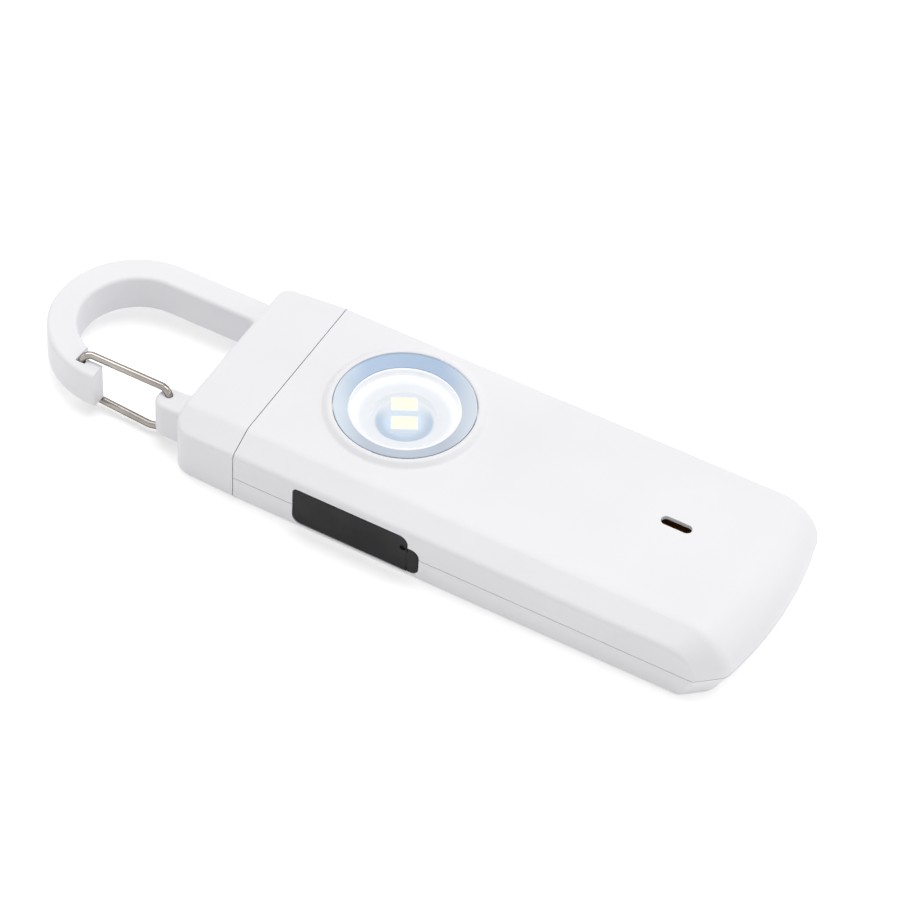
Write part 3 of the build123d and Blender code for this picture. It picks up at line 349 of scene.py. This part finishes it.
def body_and_glow(tree, share, body, glow):
    # The colour of a surface and of the light it gives off, each between two by one share. In the
    # disc and the cup this glow is painted light
    return [add_node(tree, "ShaderNodeMix",
                     {MIX_SHARE: share, MIX_FIRST: first, MIX_SECOND: second},
                     data_type="RGBA").outputs[MIX_RESULT] for first, second in (body, glow)]


def clear_disc(name):
    # Moulded polycarbonate of the disc: clear and glossy over the cup, milky in its skirt. The
    # skirt's white glow is painted light that stands for the chips' light carried in the plastic
    mat, tree, place = start_material(name)
    reach = add_node(tree, "ShaderNodeVectorMath", {0: from_button(tree, place)},
                     operation="LENGTH")
    low, high = DISC_SKIRT_REACH
    skirt = add_node(tree, "ShaderNodeMapRange",
                     {"Value": reach.outputs["Value"], "From Min": low, "From Max": high},
                     interpolation_type="SMOOTHSTEP").outputs["Result"]
    veil = add_node(tree, "ShaderNodeMapRange", {"Value": skirt, "To Min": DISC_VEIL})
    # Painted light: the skirt glows white
    body, glow = body_and_glow(tree, skirt, ("FAFBFD", "BEC0C2"), ("000000", "FFFFFF"))
    close_material(tree, body, drift(tree, place, size=10.0, low=0.02, high=0.06),
                   grit(tree, place, size=2.0, depth=0.0005), Alpha=veil.outputs["Result"],
                   IOR=1.58, Emission_Color=glow, Emission_Strength=0.5)
    return mat


def light_chip(name):
    # Cast phosphor resin in a moulded package: a lit yellow window in a pale rim
    mat, tree, place = start_material(name)
    chips = by_chips(tree, from_button(tree, place))
    beside = apart_from(tree, apart_from(tree, chips["across"], CHIP_SHIFT), CHIP_PITCH / 2)
    rim = joined_spans(tree, "MAXIMUM", (apart_from(tree, chips["along"], 0.0), WINDOW_ALONG),
                       (beside, WINDOW_ACROSS))
    body, glow = body_and_glow(tree, rim, ("FAFCD2", "EAF1F8"), ("FFFFC4", "8C949C"))
    close_material(tree, body, rough=0.4, normal=grit(tree, place, size=0.4, depth=0.003),
                   Emission_Color=glow, Emission_Strength=0.3)
    return mat


def reflector_cup(name):
    # Moulded glossy white cup. Its glow, strongest at the rim, is painted light that stands for the
    # chips' light on it. The pale blue in the near half of its well is painted shade tinted by the
    # ring, with a painted blue glow
    mat, tree, place = start_material(name)
    spot = from_button(tree, place)
    reach = add_node(tree, "ShaderNodeVectorMath", {0: spot}, operation="LENGTH").outputs["Value"]
    # Painted shade: 1 in the near half of the well, inside its wall
    painted_shade = joined_spans(tree, "MULTIPLY", (reach, PAINTED_SHADE_WALL_REACH),
                         (by_chips(tree, spot)["across"], PAINTED_SHADE_NEAR_ACROSS))
    # Painted blue glow in the well, deeper blue outwards
    painted_well_glow = fade(tree, reach, PAINTED_WELL_GLOW_REACH, "A6B8C6", "4A6782")
    # Painted glow, brighter towards the cup's rim
    rim = fade(tree, reach, PAINTED_RIM_GLOW_REACH, "B0B2B6", "DADCE0")
    # The painted shade turns the colour blue-grey and the glow from the rim's painted glow to the
    # well's painted blue glow
    body, glow = body_and_glow(tree, painted_shade, ("B6BABE", "8CA0B6"), (rim, painted_well_glow))
    close_material(tree, body, drift(tree, place, size=6.0, low=0.18, high=0.26),
                   grit(tree, place, size=0.6, depth=0.0008), Emission_Color=glow,
                   Emission_Strength=0.85)
    return mat


def tinted_ring(name):
    # Moulded translucent blue ring with painted light and shade: painted whiter at its two sides,
    # where light crosses it, and painted greyer on the near side
    mat, tree, place = start_material(name)
    chips = by_chips(tree, from_button(tree, place))
    # Painted shade: greyer blue on the near side, bluer on the far side
    painted_shade_blue = fade(tree, chips["across"], RING_PAINTED_SHADE_ACROSS, "BAC4D2", "A3BAD7")
    # Painted light: whiter towards the ring's two sides
    body = fade(tree, apart_from(tree, chips["along"], 0.0), RING_PAINTED_LIGHT_ALONG, painted_shade_blue, "DAE4EE")
    close_material(tree, body, drift(tree, place, size=6.0, low=0.16, high=0.24),
                   grit(tree, place, size=0.6, depth=0.0008))
    return mat


MATERIALS = {
    white_abs: ("top_case", "hook_cap", "cap_plate"),
    back_abs: ("bottom_case",),
    drawn_steel: ("pull_pin", "gate_wire", "board_screws"),
    clear_disc("moulded_clear_polycarbonate_painted_glow"): ("lens_button",),
    tinted_ring("moulded_pale_blue_polycarbonate_painted_light"): ("tint_ring",),
    reflector_cup("moulded_glossy_white_abs_painted_light"): ("reflector",),
    light_chip("cast_phosphor_resin"): ("white_leds",),
    black_silicone: ("usb_flap", "flap_strap"),
    black_nylon: ("tact_switch", "switch_plunger", "port_insert", "pin_socket",
                  "controller_chip", "charger_chip"),
    green_board: ("main_board",),
    tinned_steel: ("port_shell",),
    rolled_brass: ("contact_leaf",),
    cell_pouch: ("battery",),
    grey_foam: ("battery_tape", "foam_pad", "sounder_gasket"),
    brass_painted_shade: ("piezo_disc",),
    piezo_white: ("piezo_ceramic",),
    red_pvc: ("battery_lead_red", "sounder_lead_red"),
    black_pvc: ("battery_lead_black", "sounder_lead_black"),
    grey_ferrite: ("coil_core",),
    coil_copper: ("coil_winding",),
    tan_ceramic: ("capacitors",),
    black_ceramic: ("resistors",),
    cast_epoxy: ("charge_led",),
}
for mat, names in MATERIALS.items():
    for name in names:
        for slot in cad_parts[name].material_slots:
            slot.material = mat


def add_piece(name, shape, mat):
    # A finished shape as an object at the origin
    mesh = bpy.data.meshes.new(name)
    shape.to_mesh(mesh)
    shape.free()
    mesh.materials.append(mat)
    piece = bpy.data.objects.new(name, mesh)
    bpy.context.scene.collection.objects.link(piece)
    return piece


def flap_neck():
    # The web that joins the flap to its strap: hidden in both at rest, it is cut into slices so
    # that it can bend
    web = bmesh.new()
    bmesh.ops.create_cube(web, size=1.0)
    bmesh.ops.scale(web, vec=WEB_SIZE * MM, verts=web.verts)
    bmesh.ops.bevel(web, geom=web.edges[:], offset=WEB_EDGE * MM, affect="EDGES", segments=2,
                    profile=0.5, material=-1)
    for step in range(1, WEB_SLICES):
        cut = WEB_SIZE.x * (step / WEB_SLICES - 0.5) * MM
        bmesh.ops.bisect_plane(web, geom=web.verts[:] + web.edges[:] + web.faces[:],
                               dist=WEB_CUT_REACH * MM, plane_co=(cut, 0, 0), plane_no=(1, 0, 0))
    bmesh.ops.translate(web, vec=WEB_MIDDLE * MM, verts=web.verts)
    bmesh.ops.recalc_face_normals(web, faces=web.faces)
    neck = add_piece("flap_neck", web, black_silicone)
    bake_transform(neck)


def photo_camera():
    # The photograph's camera: raised from the level, turned round the alarm and rolled
    data = bpy.data.cameras.new("photo_camera")
    data.lens = VIEW_LENS
    data.sensor_width = VIEW_SENSOR
    data.clip_start = VIEW_NEAREST
    camera = bpy.data.objects.new("photo_camera", data)
    bpy.context.scene.collection.objects.link(camera)
    turn = (Matrix.Rotation(VIEW_AZ, 4, "Z") @ Matrix.Rotation(math.pi / 2 - VIEW_EL, 4, "X")
            @ Matrix.Rotation(VIEW_ROLL, 4, "Z"))
    back = turn.col[2].xyz
    camera.matrix_world = Matrix.Translation(VIEW_TARGET + back * VIEW_DISTANCE) @ turn
    bpy.context.scene.camera = camera


def seen(tree):
    # 1 for the rays that show the background: to the camera, in gloss and through clear plastic
    path = add_node(tree, "ShaderNodeLightPath", {})
    gloss = add_node(tree, "ShaderNodeMath",
                     {0: path.outputs["Is Camera Ray"], 1: path.outputs["Is Glossy Ray"]},
                     operation="MAXIMUM")
    return add_node(tree, "ShaderNodeMath",
                    {0: gloss.outputs["Value"], 1: path.outputs["Is Transmission Ray"]},
                    operation="MAXIMUM").outputs["Value"]


def paper_floor():
    # A sheet of matt white paper, shown white and lighting the alarm a little less
    mat, tree, place = start_material("matt_white_paper")
    share = seen(tree)
    white = add_node(tree, "ShaderNodeMix",
                     {MIX_SHARE: share, MIX_FIRST: "F6F6F6", MIX_SECOND: "FFFFFF"},
                     data_type="RGBA")
    lift = add_node(tree, "ShaderNodeMapRange", {"Value": share, "To Max": FLOOR_LIFT})
    close_material(tree, white.outputs[MIX_RESULT], rough=0.9,
                   normal=grit(tree, place, size=2.0, depth=0.001), Specular_IOR_Level=0.2,
                   Emission_Color="FFFFFF", Emission_Strength=lift.outputs["Result"])
    sheet = bmesh.new()
    bmesh.ops.create_grid(sheet, x_segments=1, y_segments=1, size=FLOOR_REACH)
    floor = add_piece("floor", sheet, mat)


def softbox(name, place, size, power):
    # A soft lamp turned to the alarm: its place and size in metres, its power in watts
    data = bpy.data.lights.new(name, "AREA")
    data.shape = "RECTANGLE"
    data.size, data.size_y = size
    data.energy = power
    lamp = bpy.data.objects.new(name, data)
    lamp.location = place
    lamp.rotation_euler = (-Vector(place)).to_track_quat("-Z", "Y").to_euler()
    bpy.context.scene.collection.objects.link(lamp)


def white_world():
    # A white surround, shown white and lighting the alarm less
    world = bpy.data.worlds.new("studio")
    bpy.context.scene.world = world
    world.use_nodes = True
    tree = world.node_tree
    tree.nodes.clear()
    level = add_node(tree, "ShaderNodeMapRange",
                     {"Value": seen(tree), "To Min": WORLD_LIGHT, "To Max": WORLD_SEEN})
    light = add_node(tree, "ShaderNodeBackground",
                     {"Color": "FFFFFF", "Strength": level.outputs["Result"]})
    add_node(tree, "ShaderNodeOutputWorld", {"Surface": light.outputs["Background"]})


flap_neck()
photo_camera()
paper_floor()
softbox("overhead_softbox", place=(-0.05, 0.25, 0.9), size=(1.0, 0.5), power=4.2)
softbox("left_softbox", place=(-0.8, -0.2, 0.45), size=(0.6, 0.6), power=0.73)
softbox("near_softbox", place=(-0.3, -0.85, 0.35), size=(0.8, 0.6), power=0.48)
softbox("tail_softbox", place=(0.85, -0.1, 0.35), size=(0.6, 0.6), power=1.0)
softbox("back_softbox", place=(0.5, 0.8, 0.4), size=(1.0, 0.5), power=1.3)
white_world()
bpy.context.scene.view_settings.view_transform = "Standard"
